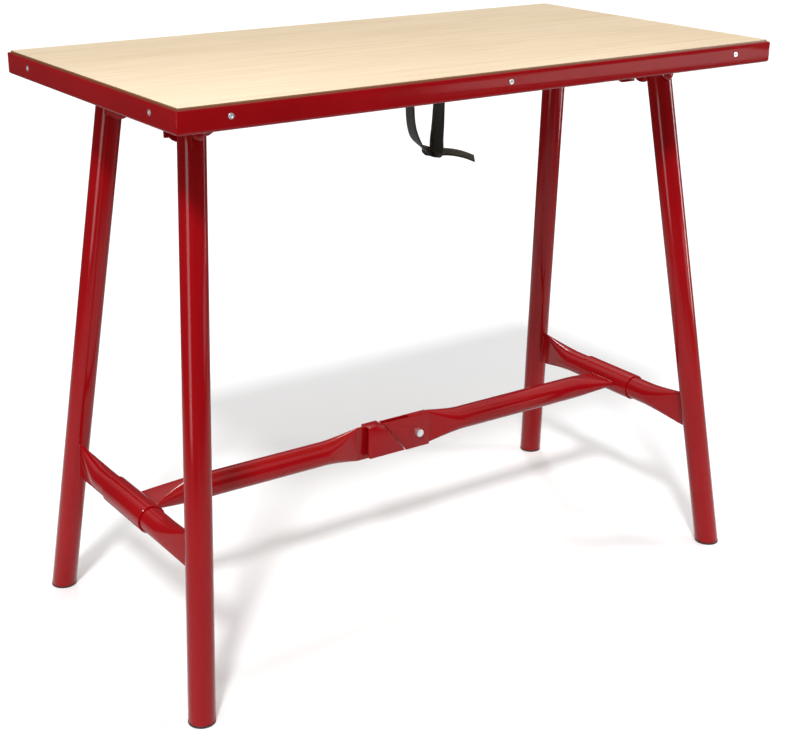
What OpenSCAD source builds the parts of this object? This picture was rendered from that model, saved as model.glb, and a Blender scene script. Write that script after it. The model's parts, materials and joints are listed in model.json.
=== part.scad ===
// Folding work bench: a plywood top in a steel angle frame, on two splayed tube trestles.
// Origin: on the floor under the middle of the bench. +X along the top, +Y to the back, +Z up.

/* [Table top] */
// Length of the steel frame
top_l = 1000; // [900:10:1200]
// Depth of the steel frame
top_w = 525; // [500:5:600]
// Height of the plywood's upper face above the floor
top_h = 850; // [800:5:900]
// Thickness of the plywood board
board_t = 30; // [24:1:33]
// How far the plywood stands above the steel edge
board_proud = 3; // [1:0.5:4]
// Gap between the plywood's edge and the steel
board_gap = 1; // [0.5:0.5:2]

/* [Angle frame] */
// Width of both flanges of the steel angle
angle_w = 30; // [25:1:35]
// Thickness of the steel angle
angle_t = 3; // [2:0.5:4]
// Radius of the angle's outer heel
heel_r = 4; // [2:0.5:6]
// Places of the screws along a long side, from its middle
long_screw_x = 427; // [380:1:440]
// Places of the screws along a short side, from its middle
short_screw_y = 190; // [150:1:210]

/* [Trestles] */
// Outer diameter of the leg and stay tubes
tube_d = 38; // [34:1:40]
// Wall of the tubes
tube_wall = 2; // [1.5:0.5:3]
// Height of the leg pivot above the floor
pivot_z = 790; // [785:1:792]
// Distance of the leg pivot from the middle, along the top
pivot_x = 409; // [400:1:415]
// Distance of the leg axis from the middle at the pivot, front to back
pivot_y = 122.7; // [120:0.1:130]
// Distance of the foot from the middle, along the top
foot_x = 487.6; // [470:0.1:495]
// Distance of the foot from the middle, front to back
foot_y = 236; // [225:1:240]
// Height of the cross tube and of the stay
cross_z = 229; // [225:1:235]
// Thickness of the plastic foot's rim under the tube
rim_t = 3; // [2:0.5:5]

/* [Stay] */
// Length of the sleeve that turns on the cross tube
sleeve_l = 120; // [100:1:130]
// Outer diameter of the sleeve
sleeve_d = 43; // [42:0.5:46]
// Radial clearance of the sleeve on the cross tube
sleeve_fit = 0.06; // [0.02:0.01:0.1]
// Height of the flattened tube ends
blade_h = 57; // [50:1:58]
// Left end of the knuckle's outer shell
shell_x = -60; // [-64:1:-56]
// Place of the knuckle bolt along the stay
bolt_x = 38; // [36:1:42]
// Diameter of the knuckle bolt
bolt_d = 8; // [6:1:8]

/* [Webbing strap] */
// Width of the webbing
web_w = 25; // [20:1:30]
// Thickness of the webbing
web_t = 2; // [1.5:0.5:3]
// Distance of the strap in front of the middle
strap_y = 82; // [78:1:86]

/* [Hidden] */
$fn = 64;

red = "firebrick";
zinc = "silver";
black = "#202020";

steel_top = top_h - board_proud;
steel_low = steel_top - angle_w;
board_low = top_h - board_t;
board_half_l = top_l / 2 - angle_t - board_gap;
board_half_w = top_w / 2 - angle_t - board_gap;
screw_z = steel_low + angle_w * 0.57;

// Flange screws of the frame: head and shank diameter, cone depth and length under the face
screw_head_d = 8;
screw_d = 4;
screw_cone = 2;
screw_l = 24;
// Hexagonal recess of the screws, across its corners, and its depth
recess_d = 3.4;
recess_deep = 1.8;
// How far a tool solid runs past the face that it cuts
past = 1;

// Where a leg's axis is at the height of the cross tube
foot_share = 1 - cross_z / pivot_z;
cross_x = pivot_x + (foot_x - pivot_x) * foot_share;
cross_leg_y = pivot_y + (foot_y - pivot_y) * foot_share;
leg_top_z = pivot_z + 18;
plug_h = 28;
rim_proud = 0.3;
cross_round_y = 98;
cross_crease_y = 174;
cross_blade_t = 5;

// Hinge bracket of a leg, measured outwards from the middle of the bench
bracket_t = 4;
bracket_y = 88;
bracket_in = 345;
bracket_out = 432;
bracket_low = 778;
bracket_flange_w = 44;
bracket_eye_r = 20;
bracket_screw_x = [358, 388.5, 420];
bracket_screw_y = 62;
bracket_screw_d = 4.2;
bracket_screw_deep = 18;
bracket_head_d = 9;
bracket_head_h = 2.8;
backing_out = 392;
backing_toe = 366;
backing_low = 773;
backing_slope_z = 783;
rivet_x = 380;
rivet_z = 786;
rivet_d = 6;
rivet_head_d = 12;
rivet_head_h = 3.2;

pivot_d = 10;
pivot_head_d = 19;
pivot_head_h = 5.5;
pivot_washer_d = 20;
pivot_washer_t = 2;
pivot_nut_flats = 17;
pivot_nut_l = 8;
bush_d = 16;
bush_fit = 0.05;
bush_in = bracket_y + bracket_t + 0.3;
bush_out = 143.5;
pivot_head_y = bush_out + 0.3;

// Stay: round and flattened stretches, measured from the sleeve's axis or from the middle
fishtail_l = 95;
fishtail_flat = 24;
fishtail_start = 15;
fishtail_t = 7;
pinch_l = 62;
left_crease_x = -75;
left_blade_t = 4;
left_blade_end = -16;
right_crease_x = 63;
right_blade_t = 9;
right_blade_end = 22;

// Knuckle: the shell's slanted end and the cheeks' slanted edge run side by side
plate_t = 3;
shell_in = 8;
shell_low = cross_z - 26;
shell_top = cross_z + 28;
slant_top_x = -29;
slant_run = 30.5;
slant_drop = 38;
slant_gap = 2.4;
cheek_top = cross_z + 27;
cheek_low = cross_z - blade_h / 2;
cheek_end = right_crease_x - 2;
cheek_face = right_blade_t / 2 + plate_t;
bolt_z = cross_z - 2;
bolt_head_d = 13;
bolt_head_l = 8;
bolt_edge = 1;
nut_flats = 13;
nut_l = 8;
washer_d = 16;
washer_t = 1.6;

// Strap: the long end crosses the short end and runs out as a tail
strap_knot = [3, 705];
long_end = [[-38, board_low + past], [-38.5, 778], [-35.5, 749], [-28.5, 730], [-17.5, 716], strap_knot,
            [22, 706], [50, 701.5], [68, 694], [80, 687]];
short_end = [[15, board_low + past], [15, 776], [13, 744], [9, 716], [5, 702]];
strap_screw_x = [-29, 24];
strap_screw_l = 14;
strap_head_d = 10;
strap_head_h = 3;

module quadrant(side, face) {
    mirror([side < 0 ? 1 : 0, 0, 0]) mirror([0, face < 0 ? 1 : 0, 0]) children();
}

module slab(low, high) {
    translate([-top_l, -top_w, low]) cube([2 * top_l, 2 * top_w, high - low]);
}

// A round bar on the axis of the leg in the quadrant where X and Y are positive.
// It runs past both ends of the leg, with the cylinder's seam on its side.
module leg_bar(d) {
    run = [pivot_x - foot_x, pivot_y - foot_y, pivot_z];
    reach = norm(run);
    beyond = 60;
    translate([foot_x, foot_y, 0])
        rotate([0, acos(run[2] / reach), atan2(run[1], run[0])]) rotate([0, 0, 90])
            translate([0, 0, -beyond]) cylinder(h = reach + 2 * beyond, d = d);
}

// A round bar along Y from one distance to another
module bar_y(d, from, to) {
    translate([0, from, 0]) rotate([-90, 0, 0]) cylinder(h = to - from, d = d);
}

module dome(d, h) {
    ball_r = (d * d / 4 + h * h) / (2 * h);
    intersection() {
        translate([0, 0, h - ball_r]) sphere(r = ball_r);
        cylinder(h = h + past, d = d);
    }
}

// Tube end pressed flat: round at the origin, a thin blade at distance l along +X
module pinch(l, blade_y, blade_z) {
    sliver = 0.2;
    hull() {
        rotate([0, 90, 0]) cylinder(h = sliver, d = tube_d, $fn = 32);
        translate([l - sliver, -blade_y / 2, -blade_z / 2]) cube([sliver, blade_y, blade_z]);
    }
}

// A hexagonal recess that opens downwards at the origin and is cut upwards
module recess() {
    translate([0, 0, -past]) cylinder(h = recess_deep + past, d = recess_d, $fn = 6);
}

// ---- table top ----

module plywood_top() {
    color("burlywood") difference() {
        translate([-board_half_l, -board_half_w, board_low])
            cube([2 * board_half_l, 2 * board_half_w, board_t]);
        frame_screw_places() bar_y(screw_d, 0, screw_l);
        bracket_screw_places() cylinder(h = bracket_t + bracket_screw_deep, d = bracket_screw_d);
        strap_screw_places() cylinder(h = strap_screw_l, d = screw_d);
    }
}

// Each place has the outer face at y = 0 and points inwards along +Y
module frame_screw_places() {
    for (side = [0, 180]) rotate([0, 0, side]) {
        for (x = [-long_screw_x, 0, long_screw_x])
            translate([x, -top_w / 2, screw_z]) children();
        rotate([0, 0, 90]) for (y = [-short_screw_y, short_screw_y])
            translate([y, -top_l / 2, screw_z]) children();
    }
}

// A mitred length of angle along X, with its outer face at y = -out
module angle_bar(l, out) {
    intersection() {
        translate([-l / 2, 0, 0]) rotate([90, 0, 90]) linear_extrude(l) difference() {
            union() {
                translate([-out, steel_low + heel_r]) square([angle_t, angle_w - heel_r]);
                translate([-out + heel_r, steel_low]) square([angle_w - heel_r, angle_t]);
                translate([-out + heel_r, steel_low + heel_r]) circle(r = heel_r);
            }
            translate([-out + angle_t, steel_low + angle_t]) square(angle_w);
        }
        linear_extrude(top_h) polygon([[-l / 2, -out], [l / 2, -out],
            [l / 2 - angle_w, -out + angle_w], [-l / 2 + angle_w, -out + angle_w]]);
    }
}

// A length of angle in its place, with the screw holes through it
module drilled() {
    difference() {
        children();
        frame_screw_places() frame_screw_body();
    }
}

module frame_screw_body() {
    rotate([-90, 0, 0]) cylinder(h = screw_cone, d1 = screw_head_d, d2 = screw_d);
    bar_y(screw_d, 0, screw_l);
}

module frame_front() { color(red) drilled() angle_bar(top_l, top_w / 2); }
module frame_back() { color(red) drilled() rotate([0, 0, 180]) angle_bar(top_l, top_w / 2); }
module frame_left() { color(red) drilled() rotate([0, 0, -90]) angle_bar(top_w, top_l / 2); }
module frame_right() { color(red) drilled() rotate([0, 0, 90]) angle_bar(top_w, top_l / 2); }

module frame_screws() {
    color(zinc) frame_screw_places() difference() {
        frame_screw_body();
        rotate([-90, 0, 0]) recess();
    }
}

// ---- leg hinge brackets ----

module bracket_screw_places() {
    for (side = [-1, 1], face = [-1, 1]) quadrant(side, face)
        for (x = bracket_screw_x)
            translate([x, bracket_screw_y, board_low - bracket_t]) children();
}

module bracket(side, face) {
    color(red) difference() {
        quadrant(side, face) {
            translate([bracket_in, bracket_y + bracket_t - bracket_flange_w, board_low - bracket_t])
                cube([bracket_out - bracket_in, bracket_flange_w, bracket_t]);
            translate([0, bracket_y + bracket_t, 0]) rotate([90, 0, 0]) linear_extrude(bracket_t)
                difference() {
                    union() {
                        translate([bracket_in, bracket_low])
                            square([bracket_out - bracket_in, board_low - bracket_low]);
                        translate([pivot_x, pivot_z]) circle(r = bracket_eye_r);
                    }
                    translate([pivot_x, pivot_z]) circle(d = pivot_d);
                    translate([rivet_x, rivet_z]) circle(d = rivet_d);
                }
        }
        bracket_screw_places() cylinder(h = bracket_t, d = bracket_screw_d);
    }
}

module bracket_backings() {
    left = bracket_in + 2;
    high = board_low - bracket_t - 1;
    color(red) each_bracket() translate([0, bracket_y, 0]) rotate([90, 0, 0])
        linear_extrude(bracket_t) difference() {
            polygon([[left, high], [left, backing_slope_z], [backing_toe, backing_low],
                     [backing_out, backing_low], [backing_out, high]]);
            translate([rivet_x, rivet_z]) circle(d = rivet_d);
        }
}

module each_bracket() {
    for (side = [-1, 1], face = [-1, 1]) quadrant(side, face) children();
}

module bracket_rivets() {
    color(red) each_bracket() translate([rivet_x, 0, rivet_z]) {
        bar_y(rivet_d, bracket_y - bracket_t, bracket_y + bracket_t);
        for (face = [-1, 1]) translate([0, bracket_y + face * bracket_t, 0])
            rotate([-face * 90, 0, 0]) dome(rivet_head_d, rivet_head_h);
    }
}

module bracket_screws() {
    color(zinc) bracket_screw_places() difference() {
        union() {
            cylinder(h = bracket_t + bracket_screw_deep, d = bracket_screw_d);
            rotate([180, 0, 0]) dome(bracket_head_d, bracket_head_h);
        }
        translate([0, 0, -bracket_head_h]) recess();
    }
}

module pivot_bolts() {
    color(red) each_bracket() translate([pivot_x, 0, pivot_z]) {
        bar_y(pivot_d, bracket_y - pivot_washer_t - pivot_nut_l - 3, pivot_head_y);
        translate([0, pivot_head_y, 0]) rotate([-90, 0, 0]) dome(pivot_head_d, pivot_head_h);
    }
}

module pivot_washers() {
    color(zinc) each_bracket() translate([pivot_x, 0, pivot_z]) difference() {
        bar_y(pivot_washer_d, bracket_y - pivot_washer_t, bracket_y);
        bar_y(pivot_d, bracket_y - pivot_washer_t - past, bracket_y + past);
    }
}

module hex_nut(flats, l, bore) {
    difference() {
        rotate([-90, 0, 0]) cylinder(h = l, d = flats / cos(30), $fn = 6);
        bar_y(bore, -past, l + past);
    }
}

module pivot_nuts() {
    color(zinc) each_bracket()
        translate([pivot_x, bracket_y - pivot_washer_t - pivot_nut_l, pivot_z])
            hex_nut(pivot_nut_flats, pivot_nut_l, pivot_d);
}

// ---- webbing strap ----

// The direction of a run of points at one of them, as an angle
function heading(points, i) = let (
    a = points[max(i - 1, 0)],
    b = points[min(i + 1, len(points) - 1)]
) atan2(b[1] - a[1], b[0] - a[0]);

function web_edge(points, side) = [for (i = [0 : len(points) - 1])
    points[i] + side * web_t / 2 * [-sin(heading(points, i)), cos(heading(points, i))]];

module web_run(points) {
    back = web_edge(points, -1);
    polygon(concat(web_edge(points, 1), [for (i = [len(back) - 1 : -1 : 0]) back[i]]));
}

module strap() {
    color(black) intersection() {
        translate([0, -strap_y + web_w / 2, 0]) rotate([90, 0, 0]) linear_extrude(web_w) {
            web_run(long_end);
            web_run(short_end);
        }
        slab(0, board_low);
    }
}

module strap_screw_places() {
    for (x = strap_screw_x) translate([x, -strap_y, board_low]) children();
}

module strap_screws() {
    color(zinc) strap_screw_places() {
        cylinder(h = strap_screw_l, d = screw_d);
        rotate([180, 0, 0]) dome(strap_head_d, strap_head_h);
    }
}

// ---- trestles ----

module leg(side, face) {
    color(red) quadrant(side, face) difference() {
        intersection() {
            leg_bar(tube_d);
            slab(rim_t, leg_top_z);
        }
        leg_bar(tube_d - 2 * tube_wall);
        translate([pivot_x, 0, pivot_z]) bar_y(bush_d, bush_in, bush_out + bracket_t);
    }
}

module foot(side, face) {
    color(black) quadrant(side, face) {
        intersection() {
            leg_bar(tube_d + 2 * rim_proud);
            slab(0, rim_t);
        }
        intersection() {
            leg_bar(tube_d - 2 * tube_wall);
            slab(rim_t - past, rim_t + plug_h);
        }
    }
}

module pivot_bushes(side) {
    color(zinc) for (face = [-1, 1]) quadrant(side, face)
        translate([pivot_x, 0, pivot_z]) difference() {
            bar_y(bush_d, bush_in, bush_out);
            bar_y(pivot_d + 2 * bush_fit, bush_in - past, bush_out + past);
        }
}

module cross_tube(side) {
    color(red) difference() {
        translate([side * cross_x, 0, cross_z]) {
            bar_y(tube_d, -cross_round_y, cross_round_y);
            for (face = [-1, 1]) rotate([0, 0, face * 90]) {
                translate([cross_round_y, 0, 0])
                    pinch(cross_crease_y - cross_round_y, cross_blade_t, blade_h);
                translate([cross_crease_y, -cross_blade_t / 2, -blade_h / 2])
                    cube([cross_leg_y - tube_d / 4 - cross_crease_y, cross_blade_t, blade_h]);
            }
        }
        translate([side * cross_x, 0, cross_z])
            bar_y(tube_d - 2 * tube_wall, -cross_round_y, cross_round_y);
        for (face = [-1, 1]) quadrant(side, face) leg_bar(tube_d);
    }
}

// ---- stay and knuckle ----

module sleeve(side) {
    color(red) translate([side * cross_x, 0, cross_z]) difference() {
        bar_y(sleeve_d, -sleeve_l / 2, sleeve_l / 2);
        bar_y(tube_d + 2 * sleeve_fit, -sleeve_l, sleeve_l);
    }
}

// A stay tube from the sleeve axis at the origin along +X to its crease
module stay_tube(crease, blade_end, blade_t) {
    difference() {
        union() {
            translate([fishtail_l, 0, 0]) mirror([1, 0, 0])
                pinch(fishtail_l - fishtail_flat, blade_h, fishtail_t);
            translate([fishtail_start, -blade_h / 2, -fishtail_t / 2])
                cube([fishtail_flat + past - fishtail_start, blade_h, fishtail_t]);
            translate([fishtail_l, 0, 0]) rotate([0, 90, 0])
                cylinder(h = crease - pinch_l - fishtail_l, d = tube_d);
            translate([crease - pinch_l, 0, 0]) pinch(pinch_l, blade_t, blade_h);
            translate([crease - past, -blade_t / 2, -blade_h / 2])
                cube([blade_end - crease + past, blade_t, blade_h]);
        }
        translate([fishtail_l, 0, 0]) rotate([0, 90, 0])
            cylinder(h = crease - pinch_l - fishtail_l, d = tube_d - 2 * tube_wall);
        bar_y(sleeve_d, -sleeve_l, sleeve_l);
    }
}

module left_stay() {
    color(red) difference() {
        translate([-cross_x, 0, cross_z])
            stay_tube(cross_x + left_crease_x, cross_x + left_blade_end, left_blade_t);
        translate([shell_x - past, -blade_h / 2, shell_top - plate_t])
            cube([left_blade_end - shell_x + 2 * past, blade_h, blade_h]);
    }
}

module right_stay() {
    color(red) difference() {
        translate([cross_x, 0, cross_z]) mirror([1, 0, 0])
            stay_tube(cross_x - right_crease_x, cross_x - right_blade_end, right_blade_t);
        knuckle_hole();
    }
}

module knuckle_hole() {
    translate([bolt_x, 0, bolt_z]) bar_y(bolt_d, -tube_d, tube_d);
}

// The place on the slanted edge at a height
function slant_x(z) = slant_top_x + (cheek_top - z) * slant_run / slant_drop;

module shell_side() {
    low_x = slant_x(shell_low) - slant_gap;
    corner_r = 5;
    rotate([90, 0, 0]) linear_extrude(plate_t) {
        polygon([[shell_x + corner_r, shell_low], [low_x, shell_low],
                 [slant_x(shell_top) - slant_gap, shell_top], [shell_x, shell_top],
                 [shell_x, shell_low + corner_r], [shell_x + corner_r, shell_low + corner_r]]);
        translate([shell_x + corner_r, shell_low + corner_r]) circle(r = corner_r);
    }
}

module knuckle_shell() {
    half = shell_in + plate_t;
    color(red) {
        translate([0, -shell_in, 0]) shell_side();
        translate([0, half, 0]) shell_side();
        translate([shell_x, -half, shell_top - plate_t])
            cube([slant_x(shell_top) - slant_gap - shell_x, 2 * half, plate_t]);
    }
}

module knuckle_cheek() {
    rotate([90, 0, 0]) linear_extrude(plate_t) difference() {
        polygon([[slant_x(cheek_low), cheek_low], [cheek_end, cheek_low],
                 [cheek_end, cheek_top], [slant_top_x, cheek_top]]);
        translate([bolt_x, bolt_z]) circle(d = bolt_d);
    }
}

module knuckle_cheek_front() { color(red) translate([0, -right_blade_t / 2, 0]) knuckle_cheek(); }
module knuckle_cheek_back() {
    color(red) translate([0, right_blade_t / 2 + plate_t, 0]) knuckle_cheek();
}

module knuckle_bolt() {
    color(zinc) translate([bolt_x, 0, bolt_z]) {
        bar_y(bolt_d, -cheek_face, cheek_face + washer_t + nut_l + 2);
        translate([0, -cheek_face - bolt_head_l, 0]) rotate([-90, 0, 0]) {
            cylinder(h = bolt_edge, d1 = bolt_head_d - 2 * bolt_edge, d2 = bolt_head_d);
            translate([0, 0, bolt_edge]) cylinder(h = bolt_head_l - bolt_edge, d = bolt_head_d);
        }
    }
}

module knuckle_washer() {
    color(zinc) translate([bolt_x, cheek_face, bolt_z]) difference() {
        bar_y(washer_d, 0, washer_t);
        bar_y(bolt_d, -past, washer_t + past);
    }
}

module knuckle_nut() {
    color(zinc) translate([bolt_x, cheek_face + washer_t, bolt_z])
        hex_nut(nut_flats, nut_l, bolt_d);
}

plywood_top();
frame_front();
frame_back();
frame_left();
frame_right();
frame_screws();
bracket(-1, -1);  // bracket_front_left
bracket(1, -1);  // bracket_front_right
bracket(-1, 1);  // bracket_back_left
bracket(1, 1);  // bracket_back_right
bracket_backings();
bracket_rivets();
bracket_screws();
pivot_bolts();
pivot_washers();
pivot_nuts();
strap();
strap_screws();
leg(-1, -1);  // left_leg_front
leg(-1, 1);  // left_leg_back
cross_tube(-1);  // left_cross_tube
pivot_bushes(-1);  // left_pivot_bushes
foot(-1, -1);  // left_foot_front
foot(-1, 1);  // left_foot_back
leg(1, -1);  // right_leg_front
leg(1, 1);  // right_leg_back
cross_tube(1);  // right_cross_tube
pivot_bushes(1);  // right_pivot_bushes
foot(1, -1);  // right_foot_front
foot(1, 1);  // right_foot_back
sleeve(-1);  // left_sleeve
left_stay();
knuckle_shell();
sleeve(1);  // right_sleeve
right_stay();
knuckle_cheek_front();
knuckle_cheek_back();
knuckle_bolt();
knuckle_washer();
knuckle_nut();
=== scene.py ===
import json
import math

import bmesh
import bpy
from mathutils import Matrix, Vector


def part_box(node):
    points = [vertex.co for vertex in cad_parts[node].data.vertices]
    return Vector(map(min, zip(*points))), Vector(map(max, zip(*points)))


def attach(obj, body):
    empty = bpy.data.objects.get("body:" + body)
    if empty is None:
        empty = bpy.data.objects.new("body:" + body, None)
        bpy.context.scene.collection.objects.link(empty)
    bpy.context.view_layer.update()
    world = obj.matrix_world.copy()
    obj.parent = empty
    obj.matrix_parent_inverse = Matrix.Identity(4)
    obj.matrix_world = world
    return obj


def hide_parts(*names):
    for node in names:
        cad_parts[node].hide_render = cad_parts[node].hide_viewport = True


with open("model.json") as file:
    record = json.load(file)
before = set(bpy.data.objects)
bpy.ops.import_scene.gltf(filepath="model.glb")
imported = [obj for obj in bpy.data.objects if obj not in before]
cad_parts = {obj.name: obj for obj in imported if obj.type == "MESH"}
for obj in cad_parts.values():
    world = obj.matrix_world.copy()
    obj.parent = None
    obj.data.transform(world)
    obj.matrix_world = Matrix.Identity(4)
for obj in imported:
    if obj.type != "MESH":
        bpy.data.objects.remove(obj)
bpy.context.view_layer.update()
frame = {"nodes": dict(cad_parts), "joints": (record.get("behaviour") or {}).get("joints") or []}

# ---- The studio ----
# A camera at standing height in front of the bench's left corner, and a white floor. A wide white ceiling
# lights it all, a key lamp stands front left and two upright strips draw the bright lines down the tubes.

camera = bpy.data.objects.new("camera", bpy.data.cameras.new("camera"))
bpy.context.scene.collection.objects.link(camera)
camera.location = (-1.2844, -1.8273, 1.1845)
camera.rotation_euler = (math.radians(69.172), math.radians(-0.208), math.radians(-34.220))
camera.data.sensor_width = 36.0
camera.data.lens = 67.67
camera.data.shift_x = 0.0291
camera.data.shift_y = 0.0029
camera.data.clip_end = 60.0
bpy.context.scene.camera = camera
bpy.context.scene.view_settings.view_transform = "Standard"


def node_of(material, kind, **settings):
    """A new shader node of that kind, with its settings."""
    made = material.node_tree.nodes.new(kind)
    for key, value in settings.items():
        setattr(made, key, value)
    return made


def new_material(name, **sockets):
    """A material whose shader's own sockets hold what is the same all over the surface."""
    material = bpy.data.materials.new(name)
    material.use_nodes = True
    shader = material.node_tree.nodes["Principled BSDF"]
    for key, value in sockets.items():
        shader.inputs[key.replace("_", " ")].default_value = value
    return material, shader


def noise_on(material, scale, detail, stretch=(1, 1, 1)):
    """Noise in the object's own coordinates, in metres, squeezed or stretched along its axes."""
    links = material.node_tree.links
    coordinates = node_of(material, "ShaderNodeTexCoord")
    mapping = node_of(material, "ShaderNodeMapping")
    mapping.inputs["Scale"].default_value = stretch
    noise = node_of(material, "ShaderNodeTexNoise")
    noise.inputs["Scale"].default_value = scale
    noise.inputs["Detail"].default_value = detail
    links.new(coordinates.outputs["Object"], mapping.inputs["Vector"])
    links.new(mapping.outputs["Vector"], noise.inputs["Vector"])
    return noise.outputs["Fac"]


def ramp_on(material, source, stops):
    """Colours or grey levels at places from 0 to 1 along the source."""
    ramp = node_of(material, "ShaderNodeValToRGB")
    steps = ramp.color_ramp.elements
    for element, (place, colour) in zip(steps, (stops[0], stops[-1])):
        element.position, element.color = place, (*colour, 1)
    for place, colour in stops[1:-1]:
        steps.new(place).color = (*colour, 1)
    material.node_tree.links.new(source, ramp.inputs["Fac"])
    return ramp.outputs["Color"]


def mottled(material, shader, socket, scale, detail, low, high, stretch=(1, 1, 1)):
    """Lets a socket of the shader wander between two colours or levels, in patches of noise."""
    patches = ramp_on(material, noise_on(material, scale, detail, stretch), [(0.3, low), (0.7, high)])
    material.node_tree.links.new(patches, shader.inputs[socket])


def bump_on(material, shader, source, depth):
    """Relief of that depth, in metres."""
    bump = node_of(material, "ShaderNodeBump")
    bump.inputs["Distance"].default_value = depth
    material.node_tree.links.new(source, bump.inputs["Height"])
    material.node_tree.links.new(bump.outputs["Normal"], shader.inputs["Normal"])


def grey(level):
    """A neutral colour of that level."""
    return (level, level, level)


floor_side = 40.0
painted_pool_reach = 3.0
floor_bm = bmesh.new()
bmesh.ops.create_grid(floor_bm, x_segments=8, y_segments=8, size=floor_side / 2)
floor_mesh = bpy.data.meshes.new("floor")
floor_bm.to_mesh(floor_mesh)
floor_bm.free()
floor = bpy.data.objects.new("floor", floor_mesh)
bpy.context.scene.collection.objects.link(floor)
floor_paper, floor_shader = new_material("white_floor", Roughness=0.85)
# In what the paint reflects, the white paper is a painted pool of light, fading to dark within its reach.
# To the camera it is endless
floor_way = node_of(floor_paper, "ShaderNodeTexCoord")
floor_reach = node_of(floor_paper, "ShaderNodeVectorMath", operation="LENGTH")
floor_paper.node_tree.links.new(floor_way.outputs["Object"], floor_reach.inputs[0])
floor_share = node_of(floor_paper, "ShaderNodeMath", operation="DIVIDE")
floor_share.inputs[1].default_value = painted_pool_reach
floor_paper.node_tree.links.new(floor_reach.outputs["Value"], floor_share.inputs[0])
floor_seen = node_of(floor_paper, "ShaderNodeLightPath")
floor_mix = node_of(floor_paper, "ShaderNodeMix", data_type="RGBA")
floor_paper.node_tree.links.new(floor_seen.outputs["Is Camera Ray"], floor_mix.inputs["Factor"])
# Painted pool of light: grey 0.62 near the middle fades to 0.04 further out, seen only in reflections and
# bounced light
floor_paper.node_tree.links.new(
    ramp_on(floor_paper, floor_share.outputs["Value"], [(0.25, grey(0.62)), (0.8, grey(0.04))]),
    floor_mix.inputs["A"])
floor_paper.node_tree.links.new(
    ramp_on(floor_paper, noise_on(floor_paper, 3.0, 2.0), [(0.3, grey(0.92)), (0.7, grey(0.94))]),
    floor_mix.inputs["B"])
floor_paper.node_tree.links.new(floor_mix.outputs["Result"], floor_shader.inputs["Base Color"])
floor_mesh.materials.append(floor_paper)

world = bpy.data.worlds.new("studio")
bpy.context.scene.world = world
world.use_nodes = True
ceiling_light = 0.86
backdrop_light = 1.2
# In what the paint reflects, the world is a white ceiling over dark walls. To the camera it is all white
sky_way = node_of(world, "ShaderNodeTexCoord")
sky_split = node_of(world, "ShaderNodeSeparateXYZ")
world.node_tree.links.new(sky_way.outputs["Generated"], sky_split.inputs["Vector"])
sky_seen = node_of(world, "ShaderNodeLightPath")
sky_mix = node_of(world, "ShaderNodeMix", data_type="RGBA")
sky_mix.inputs["B"].default_value = (*grey(backdrop_light), 1)
world.node_tree.links.new(sky_seen.outputs["Is Camera Ray"], sky_mix.inputs["Factor"])
world.node_tree.links.new(
    ramp_on(world, sky_split.outputs["Z"], [(0.0, grey(0.10)), (0.42, grey(0.12)), (0.62, grey(1.0))]),
    sky_mix.inputs["A"])
world.node_tree.links.new(sky_mix.outputs["Result"], world.node_tree.nodes["Background"].inputs["Color"])
world.node_tree.nodes["Background"].inputs["Strength"].default_value = ceiling_light


def soft_box(name, place, aim, width, height, power):
    """A rectangular lamp that faces the point it is aimed at."""
    lamp = bpy.data.lights.new(name, "AREA")
    lamp.shape = "RECTANGLE"
    lamp.size = width
    lamp.size_y = height
    lamp.energy = power
    stand = bpy.data.objects.new(name, lamp)
    bpy.context.scene.collection.objects.link(stand)
    stand.location = place
    stand.rotation_euler = (Vector(aim) - Vector(place)).to_track_quat("-Z", "Y").to_euler()


def far_lamp(name, heading, strength, spread):
    """A lamp so far away that its light comes in one direction, blurred by its spread in degrees."""
    lamp = bpy.data.lights.new(name, "SUN")
    lamp.energy = strength
    lamp.angle = math.radians(spread)
    stand = bpy.data.objects.new(name, lamp)
    bpy.context.scene.collection.objects.link(stand)
    stand.rotation_euler = Vector(heading).to_track_quat("-Z", "Y").to_euler()


middle = Vector((0, 0, 0.45))
far_lamp("key_lamp", (0.507, 0.596, -0.835), 2.05, 8)
far_lamp("back_lamp", (-0.30, -0.66, -0.95), 0.50, 9)
soft_box("left_strip", (-3.0, -1.0, 1.0), middle, 0.9, 2.2, 24)
soft_box("right_strip", (2.6, -1.5, 0.9), middle, 0.26, 2.0, 27)
soft_box("front_glow", (3.0, -3.3, 0.35), (0.3, -0.26, 0.83), 1.4, 0.7, 5)

# ---- Plywood board ----
# A birch plywood board, 30 mm thick, dropped into the steel frame. It stands 3 mm proud of the steel, its
# face is sanded and sealed, and its edge is dark brown.


def new_piece(bm, name, body, material, replaced=(), sharp=35):
    """Puts a finished bmesh in the scene as one piece that rides on a body."""
    bmesh.ops.recalc_face_normals(bm, faces=bm.faces)
    mesh = bpy.data.meshes.new(name)
    bm.to_mesh(mesh)
    bm.free()
    mesh.shade_smooth()
    mesh.set_sharp_from_angle(angle=math.radians(sharp))
    mesh.materials.append(material)
    made = bpy.data.objects.new(name, mesh)
    bpy.context.scene.collection.objects.link(made)
    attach(made, body)
    if replaced:
        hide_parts(*replaced)
    return made


def round_edges(bm, radius, segments=2, over=30):
    """Rounds every edge that turns by more than an angle in degrees."""
    sharp = [e for e in bm.edges if e.is_manifold and e.calc_face_angle() > math.radians(over)]
    bmesh.ops.bevel(bm, geom=sharp, offset=radius, segments=segments, profile=0.5, affect="EDGES",
                    material=-1, clamp_overlap=True)


def block(bm, low, high):
    """A box between two corners."""
    made = bmesh.ops.create_cube(bm, size=1)["verts"]
    bmesh.ops.scale(bm, vec=high - low, verts=made)
    bmesh.ops.translate(bm, vec=(low + high) / 2, verts=made)


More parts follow.
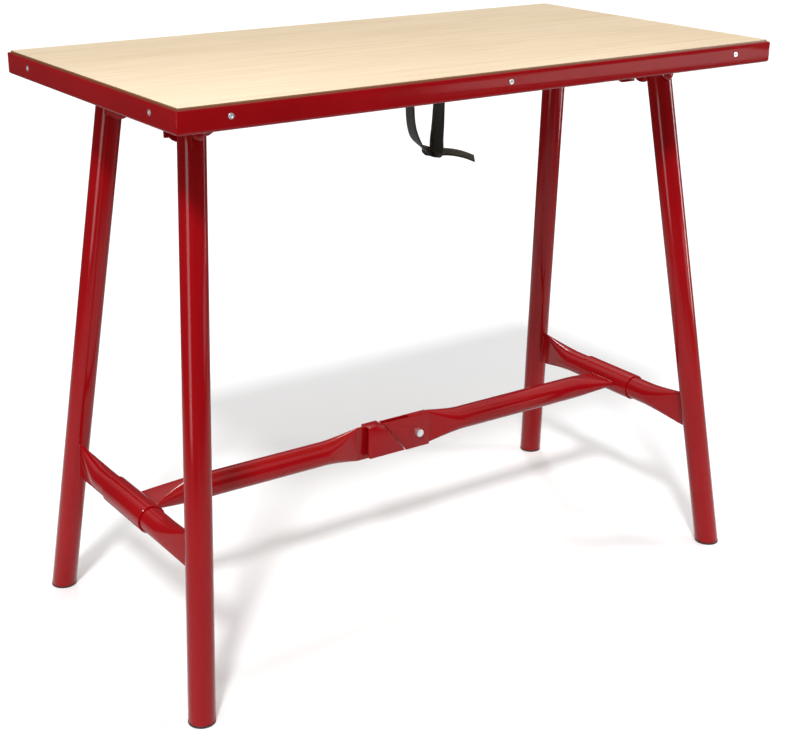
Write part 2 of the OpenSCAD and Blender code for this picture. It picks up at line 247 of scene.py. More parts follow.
board_low, board_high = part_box("plywood_top")
birch, birch_shader = new_material("birch_plywood", Coat_Weight=0.12, Coat_Roughness=0.35)
face_grain = ramp_on(birch, noise_on(birch, 5.0, 6.0, (0.8, 26.0, 1.0)), [
    (0.30, (0.74, 0.580, 0.385)), (0.48, (0.80, 0.645, 0.445)), (0.70, (0.84, 0.695, 0.500))])
face_pores = ramp_on(birch, noise_on(birch, 30.0, 3.0, (1.2, 38.0, 1.0)), [
    (0.36, grey(0.86)), (0.46, grey(1.0))])
face_cloud = ramp_on(birch, noise_on(birch, 1.6, 2.0, (1.0, 3.0, 1.0)), [
    (0.3, (0.93, 0.91, 0.86)), (0.7, (1.0, 1.0, 1.0))])


def times(material, first, second, amount=1.0):
    """The first colour darkened by the second, fully or by a share."""
    mixer = node_of(material, "ShaderNodeMix", data_type="RGBA", blend_type="MULTIPLY")
    mixer.inputs["Factor"].default_value = amount
    material.node_tree.links.new(first, mixer.inputs["A"])
    material.node_tree.links.new(second, mixer.inputs["B"])
    return mixer.outputs["Result"]


ply_count = 15
ply_coordinates = node_of(birch, "ShaderNodeTexCoord")
ply_split = node_of(birch, "ShaderNodeSeparateXYZ")
birch.node_tree.links.new(ply_coordinates.outputs["Object"], ply_split.inputs["Vector"])
ply_wave = node_of(birch, "ShaderNodeMath", operation="SINE")
ply_pitch = node_of(birch, "ShaderNodeMath", operation="MULTIPLY")
ply_pitch.inputs[1].default_value = math.pi * ply_count / (board_high.z - board_low.z)
birch.node_tree.links.new(ply_split.outputs["Z"], ply_pitch.inputs[0])
birch.node_tree.links.new(ply_pitch.outputs["Value"], ply_wave.inputs[0])
edge_plies = ramp_on(birch, ply_wave.outputs["Value"], [
    (0.0, (0.21, 0.085, 0.035)), (0.6, (0.33, 0.15, 0.07))])
edge_fibre = ramp_on(birch, noise_on(birch, 60.0, 3.0, (1, 1, 12)), [(0.3, grey(0.8)), (0.7, grey(1.0))])
face_normal = node_of(birch, "ShaderNodeSeparateXYZ")
birch.node_tree.links.new(ply_coordinates.outputs["Normal"], face_normal.inputs["Vector"])
face_up = node_of(birch, "ShaderNodeMath", operation="ABSOLUTE")
birch.node_tree.links.new(face_normal.outputs["Z"], face_up.inputs[0])
face_side = ramp_on(birch, face_up.outputs["Value"], [(0.45, grey(0.0)), (0.55, grey(1.0))])
# Where the surface stands upright, on the board's edge, it takes dark brown ply stripes instead of the birch
# face
side_or_face = node_of(birch, "ShaderNodeMix", data_type="RGBA")
birch.node_tree.links.new(face_side, side_or_face.inputs["Factor"])
birch.node_tree.links.new(times(birch, edge_plies, edge_fibre), side_or_face.inputs["A"])
birch.node_tree.links.new(times(birch, times(birch, face_grain, face_pores, 0.55), face_cloud),
                          side_or_face.inputs["B"])
birch.node_tree.links.new(side_or_face.outputs["Result"], birch_shader.inputs["Base Color"])
mottled(birch, birch_shader, "Roughness", 18.0, 4.0, grey(0.42), grey(0.58), (1, 12, 1))
bump_on(birch, birch_shader, noise_on(birch, 30.0, 3.0, (1.2, 38.0, 1.0)), 0.00012)

board = bmesh.new()
block(board, board_low, board_high)
round_edges(board, 0.0006)
new_piece(board, "plywood_board", "table_top", birch, ["plywood_top"])

# ---- Steel angle frame ----
# Four lengths of rolled steel angle, 30 by 30 by 3 mm with a rounded heel, mitred, welded at the corners and
# ground smooth, then powder coated glossy red. The screw holes are drilled and countersunk.

red_paint, red_shader = new_material("red_powder_coat", Specular_IOR_Level=0.3)
mottled(red_paint, red_shader, "Base Color", 7.0, 3.0, (0.27, 0.0015, 0.0035), (0.32, 0.0024, 0.0050))
mottled(red_paint, red_shader, "Roughness", 45.0, 4.0, grey(0.10), grey(0.17))
bump_on(red_paint, red_shader, noise_on(red_paint, 420.0, 2.0), 0.00002)

angle_w = 0.030
angle_t = 0.003
heel_r = 0.004
root_r = 0.003
toe_r = 0.001
corner_r = 0.0022
frame_low, frame_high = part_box("frame_front")
frame_low.y = min(frame_low.y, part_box("frame_left")[0].y)
half_l = frame_high.x
half_w = -frame_low.y
steel_low, steel_top = frame_low.z, frame_high.z
long_side_pitch = 0.427
short_side_reach = 0.19
# Each screw has its place on the frame's outer face and the turn of that face
screw_places = [(x, side_y * half_w, turn) for side_y, turn in ((-1, 0), (1, 180))
                for x in (-long_side_pitch, 0, long_side_pitch)]
screw_places += [(side_x * half_l, y, turn) for side_x, turn in ((-1, -90), (1, 90))
                 for y in (-short_side_reach, short_side_reach)]
screw_z = sum(corner.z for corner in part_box("frame_screws")) / 2
screw_head_r = 0.004


def cutter_of(bm, name):
    """An object that isn't in the scene yet, made of the bmesh, to cut a piece with."""
    mesh = bpy.data.meshes.new(name)
    bm.to_mesh(mesh)
    bm.free()
    return bpy.data.objects.new(name, mesh)


def countersinks():
    """The ten cones that cut the screw holes, each from just outside the frame to its inner face."""
    hole_r = 0.0049
    hole_floor_r = 0.0022
    cone_l = 0.004
    cone_start = 0.0002
    cones = bmesh.new()
    for x, y, turn in screw_places:
        face = Matrix.Translation((x, y, screw_z)) @ Matrix.Rotation(math.radians(turn), 4, "Z")
        stand = face @ Matrix.Rotation(math.radians(-90), 4, "X") \
            @ Matrix.Translation((0, 0, cone_l / 2 - cone_start))
        bmesh.ops.create_cone(cones, cap_ends=True, segments=32, radius1=hole_r, radius2=hole_floor_r,
                              depth=cone_l, matrix=stand)
    return cutter_of(cones, "countersinks")


def with_holes(bm, cutter):
    """The bmesh with the cutter's shape taken out of it. The bmesh that comes in is freed."""
    bmesh.ops.recalc_face_normals(bm, faces=bm.faces)
    mesh = bpy.data.meshes.new("drilling")
    bm.to_mesh(mesh)
    bm.free()
    work = bpy.data.objects.new("drilling", mesh)
    for thing in (work, cutter):
        bpy.context.scene.collection.objects.link(thing)
    drill = work.modifiers.new("drill", "BOOLEAN")
    drill.operation = "DIFFERENCE"
    drill.solver = "EXACT"
    drill.object = cutter
    bpy.context.view_layer.update()
    drilled = bpy.data.meshes.new_from_object(work.evaluated_get(bpy.context.evaluated_depsgraph_get()))
    out = bmesh.new()
    out.from_mesh(drilled)
    bpy.context.scene.collection.objects.unlink(cutter)
    bpy.data.objects.remove(work)
    bpy.data.meshes.remove(mesh)
    bpy.data.meshes.remove(drilled)
    return out


def angle_bar(length, out):
    """A mitred length of angle along X with its outer face at y = -out."""
    bar = bmesh.new()
    outline = [(-out, steel_low), (-out + angle_w, steel_low), (-out + angle_w, steel_low + angle_t),
               (-out + angle_t, steel_low + angle_t), (-out + angle_t, steel_top), (-out, steel_top)]
    corners = [bar.verts.new((-length / 2, y, z)) for y, z in outline]
    end = bar.faces.new(corners)
    grown = bmesh.ops.extrude_face_region(bar, geom=[end])["geom"]
    bmesh.ops.translate(bar, vec=(length, 0, 0),
                        verts=[v for v in grown if isinstance(v, bmesh.types.BMVert)])
    bmesh.ops.recalc_face_normals(bar, faces=bar.faces)

    def long_edges(*places):
        """The edges along the bar that pass through those points of its outline."""
        return [e for e in bar.edges if abs(e.verts[0].co.x - e.verts[1].co.x) > length / 2
                and any((e.verts[0].co.yz - Vector(p)).length < 1e-5 for p in places)]

    for radius, places in ((heel_r, outline[0:1]), (root_r, outline[3:4]),
                           (toe_r, outline[1:3] + outline[4:6])):
        bmesh.ops.bevel(bar, geom=long_edges(*places), offset=radius, segments=6 if radius > toe_r else 2,
                        profile=0.5, affect="EDGES", material=-1)
    for side in (-1, 1):
        for point, normal in (((side * length / 2, -out, 0), (side, 1, 0)),
                              ((side * (length / 2 - corner_r), 0, 0), (side, 0, 0))):
            cut = bmesh.ops.bisect_plane(bar, geom=bar.verts[:] + bar.edges[:] + bar.faces[:],
                                         plane_co=point, plane_no=normal, clear_outer=True)
            rim = [e for e in cut["geom_cut"] if isinstance(e, bmesh.types.BMEdge)]
            bmesh.ops.edgeloop_fill(bar, edges=rim)
    return bar


screw_cones = countersinks()
for name, length, out, turn in (("front", 2 * half_l, half_w, 0), ("back", 2 * half_l, half_w, 180),
                                ("left", 2 * half_w, half_l, -90), ("right", 2 * half_w, half_l, 90)):
    bar = angle_bar(length, out)
    bmesh.ops.rotate(bar, matrix=Matrix.Rotation(math.radians(turn), 3, "Z"), verts=bar.verts)
    new_piece(with_holes(bar, screw_cones), f"frame_{name}_angle", "table_top", red_paint,
              [f"frame_{name}"])
bpy.data.objects.remove(screw_cones)

weld_low = steel_low + heel_r / 2
for side_x, side_y in ((-1, -1), (1, -1), (-1, 1), (1, 1)):
    weld = bmesh.new()
    bmesh.ops.create_cone(weld, cap_ends=True, segments=32, radius1=corner_r, radius2=corner_r,
                          depth=steel_top - weld_low)
    bmesh.ops.translate(weld, verts=weld.verts, vec=(
        side_x * (half_l - corner_r), side_y * (half_w - corner_r), (steel_top + weld_low) / 2))
    round_edges(weld, 0.0008, 3)
    where = ("back" if side_y > 0 else "front") + ("_right" if side_x > 0 else "_left")
    new_piece(weld, f"frame_corner_weld_{where}", "table_top", red_paint)

# ---- Frame screws ----
# Ten zinc-plated countersunk screws with a socket in the head, driven through the flange into the board's
# edge and sunk a little below the painted face.

zinc, zinc_shader = new_material("bright_zinc", Metallic=1.0)
mottled(zinc, zinc_shader, "Base Color", 90.0, 4.0, (0.82, 0.83, 0.84), (0.94, 0.95, 0.96))
mottled(zinc, zinc_shader, "Roughness", 260.0, 3.0, grey(0.34), grey(0.52))
bump_on(zinc, zinc_shader, noise_on(zinc, 700.0, 2.0), 0.00002)


def turned(bm, outline, matrix=Matrix.Identity(4), segments=40):
    """A turned part: an outline of (radius, height) points spun about Z, then put in its place."""
    before = set(bm.verts)
    line = [bm.verts.new((r, 0, h)) for r, h in outline]
    edges = [bm.edges.new(pair) for pair in zip(line, line[1:])]
    bmesh.ops.spin(bm, geom=line + edges, cent=(0, 0, 0), axis=(0, 0, 1), angle=math.tau,
                   steps=segments, use_merge=True, use_duplicate=False)
    bmesh.ops.remove_doubles(bm, verts=[v for v in bm.verts if v not in before], dist=1e-6)
    bmesh.ops.transform(bm, matrix=matrix, verts=[v for v in bm.verts if v not in before])


def recessed(outline_r, recess_r, depth):
    """The inner part of a head's outline: a rim, a chamfer and a socket with a pointed floor."""
    return [(outline_r, 0.0), (recess_r + 0.0002, 0.0), (recess_r, -0.0002), (recess_r, -depth),
            (0.0, -depth - recess_r * 0.4)]


screw_l = 0.022
screw_r = 0.0019
point_l = 0.0025
head_l = 0.0022
sunk = 0.0002
rim_w = 0.0003
socket_r = 0.0018
socket_depth = 0.0019
screw_outline = [(0.0, -screw_l), (screw_r, -screw_l + point_l), (screw_r, -head_l), (screw_head_r, -rim_w)]
screw_outline += recessed(screw_head_r - rim_w, socket_r, socket_depth)
frame_screws = bmesh.new()
for x, y, turn in screw_places:
    face = Matrix.Translation((x, y, screw_z)) @ Matrix.Rotation(math.radians(turn), 4, "Z")
    outward = face @ Matrix.Rotation(math.radians(90), 4, "X") @ Matrix.Translation((0, 0, -sunk))
    turned(frame_screws, screw_outline, outward)
new_piece(frame_screws, "frame_screws_zinc", "table_top", zinc, ["frame_screws"])

# ---- Leg hinge brackets ----
# Pressed steel brackets, 4 mm thick, screwed under the board with three zinc screws each. A backing plate is
# riveted behind each one, and bracket, plate and rivet are painted together.


def softened(node, radius, over=25):
    """A copy of a CAD node with its triangles merged, its flats made whole and its edges rounded."""
    copy = bmesh.new()
    copy.from_mesh(frame["nodes"][node].data)
    bmesh.ops.remove_doubles(copy, verts=copy.verts, dist=1e-6)
    bmesh.ops.dissolve_limit(copy, angle_limit=math.radians(1), verts=copy.verts, edges=copy.edges,
                             use_dissolve_boundaries=False)
    round_edges(copy, radius, 2, over)
    return copy


def finished(material, *nodes):
    """Gives CAD nodes that are shown as they are their finish."""
    for node in nodes:
        frame["nodes"][node].data.materials.clear()
        frame["nodes"][node].data.materials.append(material)


for where in ("front_left", "front_right", "back_left", "back_right", "backings"):
    new_piece(softened(f"bracket_{where}", 0.0006), f"hinge_bracket_{where}", "table_top",
              red_paint, [f"bracket_{where}"])
finished(red_paint, "bracket_rivets")
finished(zinc, "bracket_screws")

# ---- Webbing strap ----
# Two lengths of woven black polypropylene webbing, 25 mm wide and 1.6 mm thick, each held under the board by
# a screw. The short end hooks round the long end, which runs on as a loose tail.

webbing, webbing_shader = new_material("black_webbing", Sheen_Weight=0.25, Sheen_Roughness=0.4)
web_uv = node_of(webbing, "ShaderNodeUVMap", uv_map="across_and_along")


def weave(turn, scale):
    """Bands across the webbing's flat, turned by an angle in degrees."""
    mapping = node_of(webbing, "ShaderNodeMapping")
    mapping.inputs["Rotation"].default_value = (0, 0, math.radians(turn))
    wave = node_of(webbing, "ShaderNodeTexWave", wave_type="BANDS", bands_direction="X")
    wave.inputs["Scale"].default_value = scale
    webbing.node_tree.links.new(web_uv.outputs["UV"], mapping.inputs["Vector"])
    webbing.node_tree.links.new(mapping.outputs["Vector"], wave.inputs["Vector"])
    return wave.outputs["Fac"]


web_threads = node_of(webbing, "ShaderNodeMath", operation="MULTIPLY")
webbing.node_tree.links.new(weave(0, 130), web_threads.inputs[0])
webbing.node_tree.links.new(weave(62, 160), web_threads.inputs[1])
webbing.node_tree.links.new(
    ramp_on(webbing, web_threads.outputs["Value"], [(0.0, grey(0.004)), (1.0, grey(0.030))]),
    webbing_shader.inputs["Base Color"])
mottled(webbing, webbing_shader, "Roughness", 300.0, 2.0, grey(0.45), grey(0.7))
bump_on(webbing, webbing_shader, web_threads.outputs["Value"], 0.0004)

web_w = 0.025
web_t = 0.0016
# Each stop is a place on the webbing's middle line and the direction of its width, in millimetres
long_stops = [
    ((-38, -82, 820), (0, -1, 0)), ((-38.5, -82, 796), (-0.1, -1, 0)), ((-38, -82, 774), (-0.12, -1, 0)),
    ((-35.5, -82, 750), (-0.1, -1, 0)), ((-28.5, -82, 730), (0, -1, -0.1)), ((-18, -82, 716), (0, -1, -0.3)),
    ((-7, -82, 708), (-0.1, -1, -0.4)), ((5, -84, 704.5), (-0.3, -1, -0.35)),
    ((17, -89, 705.5), (-0.5, -0.85, -0.2)), ((30, -98, 704.5), (-0.55, -0.82, -0.17)),
    ((43, -107, 701), (-0.55, -0.82, -0.16)), ((55, -115, 695.5), (-0.55, -0.82, -0.16))]
short_stops = [
    ((15, -82, 820), (0, -1, 0)), ((14.5, -82, 798), (0, -1, 0)), ((13, -82.5, 774), (0.05, -1, 0)),
    ((10, -85, 748), (0.12, -1, 0)), ((6, -88, 726), (0.22, -1, 0)), ((3, -92, 712), (0.3, -1, 0)),
    ((1, -93.5, 707), (0.3, -1, 0)), ((1, -90, 701.5), (0.3, -1, 0)), ((1, -82, 700), (0.25, -1, 0)),
    ((1, -75, 702.5), (0.2, -1, 0)), ((2, -72, 707), (0.1, -1, 0)), ((3, -72, 712), (0, -1, 0))]


def along(stops, share):
    """The place and the width's direction at a share of the stops, on a smooth curve through them."""
    place = share * (len(stops) - 1)
    i = min(int(place), len(stops) - 2)
    t = place - i
    picked = []
    for part in (0, 1):
        a, b, c, d = (Vector(stops[min(max(k, 0), len(stops) - 1)][part]) for k in (i - 1, i, i + 1, i + 2))
        picked.append(0.5 * (2 * b + (c - a) * t + (2 * a - 5 * b + 4 * c - d) * t ** 2
                             + (3 * b - a - 3 * c + d) * t ** 3))
    return picked[0] / 1000, picked[1].normalized()


def webbing_piece(name, stops, replaced):
    """A flat band along the stops, one edge pulled out row by row, with its UV map in metres."""
    rows = 8 * (len(stops) - 1)
    strips = 6
    band = bmesh.new()
    uv = band.loops.layers.uv.new("across_and_along")
    shares = [i / strips - 0.5 for i in range(strips + 1)]
    chain = [band.verts.new((0, 0, 0)) for _ in shares]
    line = [band.edges.new(pair) for pair in zip(chain, chain[1:])]
    marks = {}
    length = 0.0
    last = along(stops, 0)[0]
    for row in range(rows + 1):
        middle_line, across = along(stops, row / rows)
        length += (middle_line - last).length
        last = middle_line
        if row:
            grown = bmesh.ops.extrude_edge_only(band, edges=line)["geom"]
            new = {v for v in grown if isinstance(v, bmesh.types.BMVert)}
            chain = [next(e.other_vert(v) for e in v.link_edges if e.other_vert(v) in new) for v in chain]
            line = [e for e in grown if isinstance(e, bmesh.types.BMEdge) and all(v in new for v in e.verts)]
        for share, v in zip(shares, chain):
            v.co = middle_line + across * (web_w * share)
            marks[v] = (share * web_w, length)
    for face in band.faces:
        for loop in face.loops:
            loop[uv].uv = marks[loop.vert]
    made = new_piece(band, name, "table_top", webbing, replaced)
    wall = made.modifiers.new("thickness", "SOLIDIFY")
    wall.thickness = web_t
    wall.offset = 0


webbing_piece("strap_long_end", long_stops, ["strap"])
webbing_piece("strap_short_end", short_stops, [])
finished(zinc, "strap_screws")

# ---- Legs ----
# Four steel tubes, 38 by 2 mm, cut level at both ends and bored for a steel bush. Each swings on a bolt with
# a painted dome head outside, and a zinc washer and lock nut behind the bracket.


def ring_middle(node, height):
    """The middle of a node's corners that lie at one height."""
    level = [v.co for v in frame["nodes"][node].data.vertices if abs(v.co.z - height) < 0.0005]
    return Vector(((min(c.x for c in level) + max(c.x for c in level)) / 2,
                   (min(c.y for c in level) + max(c.y for c in level)) / 2, height))


pivot = Vector(next(j for j in frame["joints"] if j["name"] == "right_trestle_fold")["pos_m"])
leg_lines = {}
for side in ("left", "right"):
    for face in ("front", "back"):
        node = f"{side}_leg_{face}"
        low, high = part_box(node)
        leg_lines[side, face] = (ring_middle(node, low.z), ring_middle(node, high.z))
        tube = softened(node, 0.0003, 60)
        new_piece(tube, f"{side}_{face}_leg_tube", f"{side}_trestle", red_paint, [node])

dome_r = 0.0095
dome_h = 0.0055
bolt_r = 0.005
bolt_chamfer = 0.0008
past_washer = 0.013
head_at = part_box("pivot_bolts")[1].y - dome_h
shank = head_at - (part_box("pivot_washers")[1].y - past_washer)
dome = [(dome_r * math.cos(a), dome_h * math.sin(a)) for a in (math.radians(10 * k) for k in range(9))]
bolt_outline = [(0, -shank), (bolt_r - bolt_chamfer, -shank), (bolt_r, -shank + bolt_chamfer),
                (bolt_r, -0.0001), (dome_r - 0.0003, -0.0001), (dome_r, 0.0001), *dome[1:], (0, dome_h)]
pivot_bolts = bmesh.new()
for side_x in (-1, 1):
    for side_y in (-1, 1):
        stand = Matrix.Translation((side_x * pivot.x, side_y * head_at, pivot.z)) \
            @ Matrix.Rotation(math.radians(-90 * side_y), 4, "X")
        turned(pivot_bolts, bolt_outline, stand)
new_piece(pivot_bolts, "pivot_bolt_domes", "table_top", red_paint, ["pivot_bolts"])
finished(zinc, "pivot_washers", "pivot_nuts", "left_pivot_bushes", "right_pivot_bushes")

# ---- Feet ----
# Moulded black polyethylene plugs pushed into the leg ends. A thin rim shows under the tube.

foot_plastic, foot_shader = new_material("black_polyethylene", Specular_IOR_Level=0.4)
mottled(foot_plastic, foot_shader, "Base Color", 60.0, 4.0, grey(0.010), grey(0.020))
mottled(foot_plastic, foot_shader, "Roughness", 150.0, 4.0, grey(0.45), grey(0.65))
bump_on(foot_plastic, foot_shader, noise_on(foot_plastic, 900.0, 2.0), 0.00006)

tube_r = 0.019
tube_wall = 0.002
rim_proud = 0.0003


def leaning_bar(bm, foot, top, radius, segments=64):
    """The side of a round bar between two level cuts. Returns its lower and its upper rim."""
    lean = top - foot
    ring = bmesh.ops.create_circle(bm, segments=segments, radius=radius)["verts"]
    stretch = lean.length / lean.z
    heading = Matrix.Rotation(-math.atan2(lean.y, lean.x), 4, "Z")
    bmesh.ops.scale(bm, vec=(stretch, 1, 1), space=heading, verts=ring)
    bmesh.ops.translate(bm, vec=foot, verts=ring)
    low_rim = list({e for v in ring for e in v.link_edges})
    grown = bmesh.ops.extrude_edge_only(bm, edges=low_rim)["geom"]
    bmesh.ops.translate(bm, vec=lean, verts=[v for v in grown if isinstance(v, bmesh.types.BMVert)])
    return low_rim, [e for e in grown if isinstance(e, bmesh.types.BMEdge)]


for (side, face), (foot, top) in leg_lines.items():
    node = f"{side}_foot_{face}"
    plug_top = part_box(node)[1].z
    lean = (top - foot) / (top.z - foot.z)
    plug = bmesh.new()
    floor_point = foot - lean * foot.z
    rim_low, rim_high = leaning_bar(plug, floor_point, foot, tube_r + rim_proud)
    bmesh.ops.edgeloop_fill(plug, edges=rim_low)
    lid = bmesh.ops.edgeloop_fill(plug, edges=rim_high)["faces"]
    bmesh.ops.inset_region(plug, faces=lid, thickness=rim_proud + tube_wall, use_even_offset=True)
    grown = bmesh.ops.extrude_face_region(plug, geom=lid)["geom"]
    bmesh.ops.delete(plug, geom=lid, context="FACES_ONLY")
    bmesh.ops.translate(plug, vec=lean * (plug_top - foot.z),
                        verts=[v for v in grown if isinstance(v, bmesh.types.BMVert)])
    round_edges(plug, 0.0008, 3)
    new_piece(plug, f"{side}_{face}_foot_plug", f"{side}_trestle", foot_plastic, [node])

# ---- Cross tubes ----
# The same tube, its ends pressed flat with a die and welded upright between the two legs of a trestle. The
# bead runs all round the pressed end.

blade_h = 0.057
cross_round = 0.098
cross_crease = 0.174
cross_blade_t = 0.005
cross_bead_corner = 0.0022
bead_r = 0.0017
bead_steps = 90


def squeezed(ring, middle_point, half_a, half_b, corner, axis_a, axis_b):
    """Moves the corners of a ring to a rounded rectangle across the tube."""
    count = len(ring)
    for i, v in enumerate(ring):
        angle = math.tau * (i + 0.5) / count
        a = math.copysign(half_a - corner, math.cos(angle)) + corner * math.cos(angle)
        b = math.copysign(half_b - corner, math.sin(angle)) + corner * math.sin(angle)
        v.co = middle_point + axis_a * a + axis_b * b


def pressed_tube(bm, sections, start, direction, thick_axis, segments=64):
    """A tube whose sections are (distance, half thickness, half height, corner), closed at both ends."""
    high_axis = direction.cross(thick_axis)
    ring = bmesh.ops.create_circle(bm, segments=segments, radius=tube_r)["verts"]
    rim = [e for e in bm.edges if all(v in ring for v in e.verts)]
    bmesh.ops.edgeloop_fill(bm, edges=rim)
    for i, (distance, half_t, half_h, corner) in enumerate(sections):
        if i:
            grown = bmesh.ops.extrude_edge_only(bm, edges=rim)["geom"]
            rim = [e for e in grown if isinstance(e, bmesh.types.BMEdge) and e.is_boundary]
            new = [v for v in grown if isinstance(v, bmesh.types.BMVert)]
            ring = [next(e.other_vert(v) for e in v.link_edges if e.other_vert(v) in new) for v in ring]
        squeezed(ring, start + direction * distance, half_t, half_h, corner, thick_axis, high_axis)
    bmesh.ops.edgeloop_fill(bm, edges=rim)


def press(distance, share, thick, high):
    """A section part of the way from the round tube, at share 0, to a pressed end, at share 1."""
    half_t = tube_r + (thick / 2 - tube_r) * share
    half_h = tube_r + (high / 2 - tube_r) * share
    corner = min(tube_r + (thick / 2 * 0.9 - tube_r) * share, half_t * 0.999)
    return distance, half_t, half_h, corner


def press_steps(round_at, flat_at, thick, high, steps=14):
    """Sections from the round tube to the crease of a pressed end, with a soft start."""
    softness = 1.35
    places = [k / steps for k in range(steps + 1)]
    return [press(round_at + (flat_at - round_at) * t, t ** softness, thick, high) for t in places]


def bead(bm, path, radius):
    """A weld bead: a closed ring of round sections along a path, rippled as the weld was laid."""
    rings = []
    for i, point in enumerate(path):
        ahead = path[(i + 1) % len(path)] - path[i - 1]
        turn = ahead.to_track_quat("Z", "Y").to_matrix().to_4x4()
        size = radius * (1 + 0.16 * math.sin(i * 2.1) + 0.06 * math.sin(i * 0.9))
        ring = bmesh.ops.create_circle(bm, segments=8, radius=size, matrix=Matrix.Translation(point) @ turn)
        rings.append([e for e in bm.edges if all(v in set(ring["verts"]) for v in e.verts)])
    for one, other in zip(rings, rings[1:] + rings[:1]):
        bmesh.ops.bridge_loops(bm, edges=one + other)


def box_path(half_a, half_b, corner, steps):
    """Points evenly round a rounded rectangle, as pairs."""
    sides = [2 * (half_a - corner), 2 * (half_b - corner)]
    arc = corner * math.pi / 2
    total = 2 * (sides[0] + sides[1]) + 4 * arc
    points = []
    for k in range(steps):
        s = total * k / steps
        for quarter in range(4):
            run = sides[1] if quarter % 2 == 0 else sides[0]
            if s <= run + arc:
                break
            s -= run + arc
        reach_a, reach_b = (half_a, half_b) if quarter % 2 == 0 else (half_b, half_a)
        if s <= run:
            a, b = reach_a, -reach_b + corner + s
        else:
            angle = (s - run) / corner
            a, b = reach_a - corner + corner * math.cos(angle), reach_b - corner + corner * math.sin(angle)
        turn = quarter * math.pi / 2
        points.append((a * math.cos(turn) - b * math.sin(turn), a * math.sin(turn) + b * math.cos(turn)))
    return points


def leg_surface_y(side, face, x, z):
    """Where the inner side of a leg is, at a place seen from the front, a hair outside the steel."""
    foot, top = leg_lines[side, face]
    share = (z - foot.z) / (top.z - foot.z)
    centre = foot.lerp(top, share)
    off = x - centre.x
    return centre.y - math.copysign(math.sqrt(max(tube_r ** 2 - off ** 2, 0)) * 1.01, centre.y)


stay_joint = next(j for j in frame["joints"] if j["name"] == "right_stay_swing")
cross_x, cross_z = stay_joint["pos_m"][0], stay_joint["pos_m"][2]
overlap = 0.0015
for side, sign in (("left", -1), ("right", 1)):
    tube = bmesh.new()
    reach = abs(leg_surface_y(side, "front", sign * cross_x, cross_z)) + overlap
    half = press_steps(cross_round, cross_crease, cross_blade_t, blade_h)
    half.append(press(reach, 1, cross_blade_t, blade_h))
    sections = [(-d, t, h, c) for d, t, h, c in half[::-1]] + half
    pressed_tube(tube, sections, Vector((sign * cross_x, 0, cross_z)), Vector((0, 1, 0)), Vector((1, 0, 0)))
    new_piece(tube, f"{side}_cross_tube_pressed", f"{side}_trestle", red_paint,
              [f"{side}_cross_tube"], sharp=24)
    welds = bmesh.new()
    for face in ("front", "back"):
        seam = [(sign * cross_x + a, cross_z + b)
                for a, b in box_path(cross_blade_t / 2, blade_h / 2, cross_bead_corner, bead_steps)]
        bead(welds, [Vector((x, leg_surface_y(side, face, x, z), z)) for x, z in seam], bead_r)
    new_piece(welds, f"{side}_cross_tube_welds", f"{side}_trestle", red_paint)

# ---- Sleeves ----
# A wider tube, 120 mm long, turns freely on each cross tube. Its ends are cut square and deburred.

sleeve_r = 0.0215
sleeve_bore = 0.01906
sleeve_half = 0.060
edge = 0.0005
low_edge = [(sleeve_bore, -sleeve_half + edge), (sleeve_bore + edge, -sleeve_half),
            (sleeve_r - edge, -sleeve_half), (sleeve_r, -sleeve_half + edge)]
high_edge = [(r, -h) for r, h in low_edge[::-1]]
for side, sign in (("left", -1), ("right", 1)):
    sleeve = bmesh.new()
    stand = Matrix.Translation((sign * cross_x, 0, cross_z)) @ Matrix.Rotation(math.radians(-90), 4, "X")
    turned(sleeve, low_edge + high_edge + low_edge[:1], stand, 64)
    new_piece(sleeve, f"{side}_turning_sleeve", f"{side}_half_stay", red_paint,
              [f"{side}_sleeve"])

# ---- Half stays ----
# Each half stay is the same tube. One end is pressed level and welded to its sleeve, the other is pressed
# upright and carries its half of the knuckle.

fishtail_round = 0.095
fishtail_flat = 0.024
fishtail_t = 0.007
fishtail_end = 0.0203
fishtail_bead_corner = 0.003
pinch_l = 0.062
shell_web_t = 0.003


def notched(stay):
    """The left stay's blade with room for the shell's top web above it."""
    shell_low, shell_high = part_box("knuckle_shell")
    end_gap = 0.0004
    web_gap = 0.0002
    notch_reach = 0.010
    notch = bmesh.new()
    block(notch, Vector((shell_low.x - end_gap, -notch_reach, shell_high.z - shell_web_t - web_gap)),
          Vector((0, notch_reach, shell_high.z + notch_reach)))
    cutter = cutter_of(notch, "notch")
    cut = with_holes(stay, cutter)
    bpy.data.objects.remove(cutter)
    return cut


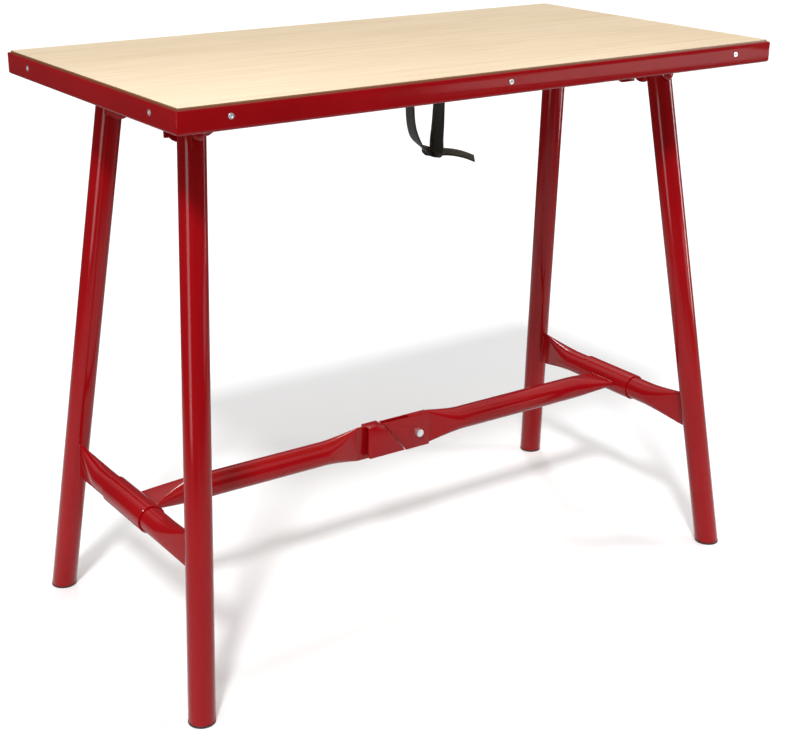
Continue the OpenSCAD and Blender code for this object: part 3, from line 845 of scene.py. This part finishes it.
for side, sign, crease_x, end_x, blade_t in (("left", -1, -0.075, -0.016, 0.004),
                                             ("right", 1, 0.063, 0.022, 0.009)):
    start = Vector((sign * cross_x, 0, cross_z))
    inward = Vector((-sign, 0, 0))
    crease = cross_x - abs(crease_x)
    blade_end = cross_x - sign * end_x
    stay = bmesh.new()
    tail = [(d, h, t, c) for d, t, h, c in press_steps(fishtail_round, fishtail_flat, fishtail_t, blade_h)]
    tail.append((fishtail_end, *tail[-1][1:]))
    knuckle_end = press_steps(crease - pinch_l, crease, blade_t, blade_h)
    knuckle_end.append((blade_end, *knuckle_end[-1][1:]))
    pressed_tube(stay, tail[::-1] + knuckle_end, start, inward, Vector((0, 1, 0)))
    if side == "left":
        stay = notched(stay)
    new_piece(stay, f"{side}_stay_tube", f"{side}_half_stay", red_paint, [f"{side}_stay"],
              sharp=24)
    welds = bmesh.new()
    path = [start + Vector((-sign * math.sqrt(sleeve_r ** 2 - b ** 2), a, b))
            for a, b in box_path(blade_h / 2, fishtail_t / 2, fishtail_bead_corner, bead_steps)]
    bead(welds, path, bead_r)
    new_piece(welds, f"{side}_stay_welds", f"{side}_half_stay", red_paint)

# ---- Knuckle ----
# A folded shell on the left half stay closes over two cheeks welded to the right one. A zinc bolt goes
# through the cheeks, with a washer and a nut behind.

for node, name, body in (("knuckle_shell", "knuckle_folded_shell", "left_half_stay"),
                         ("knuckle_cheek_front", "knuckle_front_cheek", "right_half_stay"),
                         ("knuckle_cheek_back", "knuckle_back_cheek", "right_half_stay")):
    new_piece(softened(node, 0.0005), name, body, red_paint, [node])

bolt_low, bolt_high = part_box("knuckle_bolt")
knuckle_bolt_l = bolt_high.y - bolt_low.y
knuckle_head_r = (bolt_high.x - bolt_low.x) / 2
knuckle_head_l = 0.008
knuckle_shank_r = 0.004
point_w = 0.0006
crown = 0.0011
bolt = bmesh.new()
stand = Matrix.Translation(((bolt_low.x + bolt_high.x) / 2, bolt_low.y, (bolt_low.z + bolt_high.z) / 2)) \
    @ Matrix.Rotation(math.radians(90), 4, "X")
turned(bolt, [(0, -knuckle_bolt_l), (knuckle_shank_r - point_w, -knuckle_bolt_l),
              (knuckle_shank_r, -knuckle_bolt_l + point_w), (knuckle_shank_r, -knuckle_head_l),
              (knuckle_head_r, -knuckle_head_l), (knuckle_head_r, -crown),
              (knuckle_head_r - 0.0003, -0.0004), (knuckle_head_r - crown, 0),
              (0.0030, 0), (0.0026, -0.0004), (0.0, -0.0005)], stand, 48)
new_piece(bolt, "knuckle_zinc_bolt", "right_half_stay", zinc, ["knuckle_bolt"])
finished(zinc, "knuckle_washer", "knuckle_nut")
